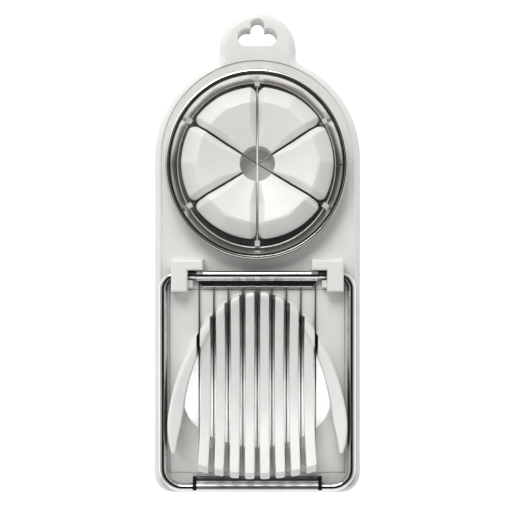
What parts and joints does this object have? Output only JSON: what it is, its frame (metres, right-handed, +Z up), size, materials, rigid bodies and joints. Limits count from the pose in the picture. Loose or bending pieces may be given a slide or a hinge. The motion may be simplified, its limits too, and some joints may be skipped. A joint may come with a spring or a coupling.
{
  "type": "egg slicer and wedger",
  "caption": "Hand-held egg cutter: a white tray with a wired slicer frame over a ribbed cradle and a wired wedger ring over a petal cup, both hinged, with a hanging tab.",
  "frame": {"origin": "on the table, under the middle of the part's footprint", "axes": "+Z up, +Y along the tool towards the hanging tab, +X across it"},
  "size_m": [0.086, 0.2004, 0.0305],
  "materials": {
    "white_plastic": "smooth moulded plastic, softly glossy",
    "ring_steel": "rolled stainless sheet, satin",
    "rod_steel": "polished round rod",
    "carrier_steel": "folded polished strip",
    "wire_steel": "drawn stainless wire",
    "crimp_steel": "pressed crimp"
  },
  "bodies": {
    "base": {"base_tray": "white_plastic", "wedge_cup": "white_plastic", "egg_cradle": "white_plastic", "hinge_clip_left": "white_plastic", "hinge_clip_right": "white_plastic", "ring_hinge_pin": "wire_steel"},
    "slicer": {"slicer_frame_rod": "rod_steel", "upper_wire_carrier": "carrier_steel", "lower_wire_carrier": "carrier_steel", "carrier_lug_left": "carrier_steel", "carrier_lug_right": "carrier_steel", "slicer_wire_1": "wire_steel", "slicer_wire_2": "wire_steel", "slicer_wire_3": "wire_steel", "slicer_wire_4": "wire_steel", "slicer_wire_5": "wire_steel", "slicer_wire_6": "wire_steel", "slicer_wire_7": "wire_steel", "slicer_wire_8": "wire_steel", "slicer_wire_9": "wire_steel"},
    "wedger": {"wedger_ring": "ring_steel", "wedger_wire_1": "wire_steel", "wedger_wire_2": "wire_steel", "wedger_wire_3": "wire_steel", "wire_crimp_1": "crimp_steel", "wire_crimp_2": "crimp_steel", "wire_crimp_3": "crimp_steel", "wire_crimp_4": "crimp_steel", "wire_crimp_5": "crimp_steel", "wire_crimp_6": "crimp_steel"}
  },
  "joints": [
    {"name": "slicer_hinge", "type": "hinge", "parent": "base", "child": "slicer", "pos_m": [0, -0.0096, 0.0133], "axis": [-1, 0, 0], "range_deg": [0, 100]},
    {"name": "wedger_hinge", "type": "hinge", "parent": "base", "child": "wedger", "pos_m": [0, 0.0737, 0.0136], "axis": [-1, 0, 0], "range_deg": [0, 90]}
  ]
}
